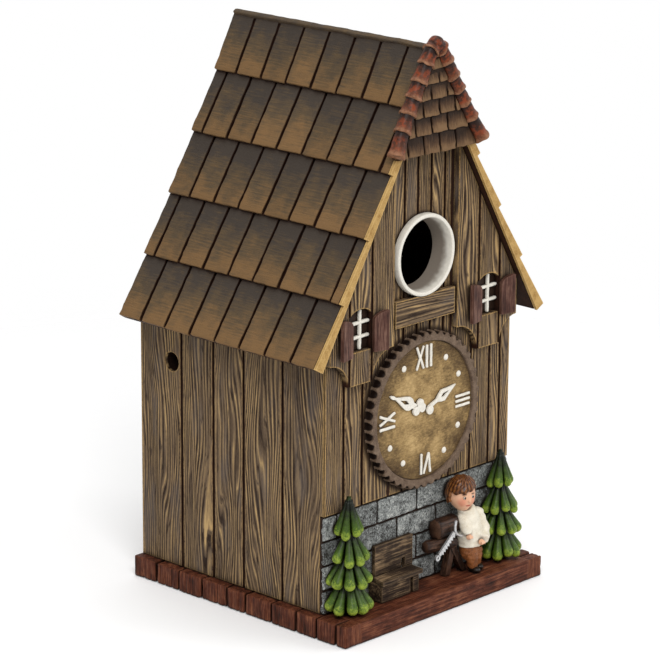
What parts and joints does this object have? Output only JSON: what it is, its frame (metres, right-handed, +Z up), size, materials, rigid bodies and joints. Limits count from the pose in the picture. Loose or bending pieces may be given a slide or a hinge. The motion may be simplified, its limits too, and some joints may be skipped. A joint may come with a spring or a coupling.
{
  "type": "cuckoo clock birdhouse",
  "caption": "Hanging nest box shaped as an alpine clock house, with a round entry hole, steep shingled roof, dial, small scene on the base and a sliding clean-out panel behind.",
  "frame": {"origin": "middle of the underside of the base plinth", "axes": "+Z up, -Y out of the front with the entry hole and dial, +X to the right as one looks at the front"},
  "size_m": [0.1562, 0.14, 0.2726],
  "materials": {
    "base_wood": "rough-hewn red-brown paint",
    "wall_planks": "dry-brushed grey-brown planks",
    "pale_planks": "dry-brushed pale planks",
    "stone": "speckled blue-grey stone with dark mortar",
    "shingles": "grey-brown shingles, orange-brown at the butts",
    "verge": "ochre",
    "hood_shingles": "olive-brown small shingles",
    "clay_tiles": "red-brown tiles with orange highlights",
    "white_paint": "warm white",
    "shutter_paint": "plum-brown",
    "dial_paint": "weathered ochre",
    "dial_frame": "grey-brown",
    "fir_green": "glossy green with pale tips",
    "dark_timber": "dark brown with tan edges",
    "bark": "dark bark",
    "silver_paint": "silver paint",
    "skin": "satin skin tone",
    "hair": "glossy brown",
    "jumper": "cream",
    "trousers": "orange-brown",
    "shoes": "near black"
  },
  "bodies": {
    "house": {"base_plinth": "base_wood", "front_wall": "wall_planks", "back_wall": "wall_planks", "side_wall_left": "wall_planks", "side_wall_right": "wall_planks", "wing_panel_left": "pale_planks", "wing_panel_right": "pale_planks", "ledge_board": "pale_planks", "stone_band": "stone", "roof_slope_left": "shingles", "roof_slope_right": "shingles", "verge_board_left": "verge", "verge_board_right": "verge", "gable_hood": "hood_shingles", "rake_tiles_left": "clay_tiles", "rake_tiles_right": "clay_tiles", "apex_tile": "clay_tiles", "entry_ring": "white_paint", "window_bars_left": "white_paint", "window_bars_right": "white_paint", "minute_hand": "white_paint", "hour_hand": "white_paint", "shutter_left_inner": "shutter_paint", "shutter_left_outer": "shutter_paint", "shutter_right_inner": "shutter_paint", "shutter_right_outer": "shutter_paint", "dial_face": "dial_paint", "dial_frame": "dial_frame", "fir_tree_left": "fir_green", "fir_tree_right": "fir_green", "bench_base": "dark_timber", "bench_seat": "dark_timber", "bench_back": "dark_timber", "sawhorse": "dark_timber", "hatch_guide_left": "dark_timber", "hatch_guide_right": "dark_timber", "lower_log": "bark", "upper_log": "bark", "saw_blade": "silver_paint", "saw_bow": "silver_paint", "figure_head": "skin", "figure_hand_left": "skin", "figure_hand_right": "skin", "figure_hair": "hair", "figure_jumper": "jumper", "figure_trousers": "trousers", "figure_shoe_left": "shoes", "figure_shoe_right": "shoes"},
    "hatch": {"clean_out_hatch": "wall_planks"}
  },
  "joints": [
    {"name": "hatch_slide", "type": "slide", "parent": "house", "child": "hatch", "axis": [0, 0, 1], "range_m": [0, 0.06]}
  ]
}
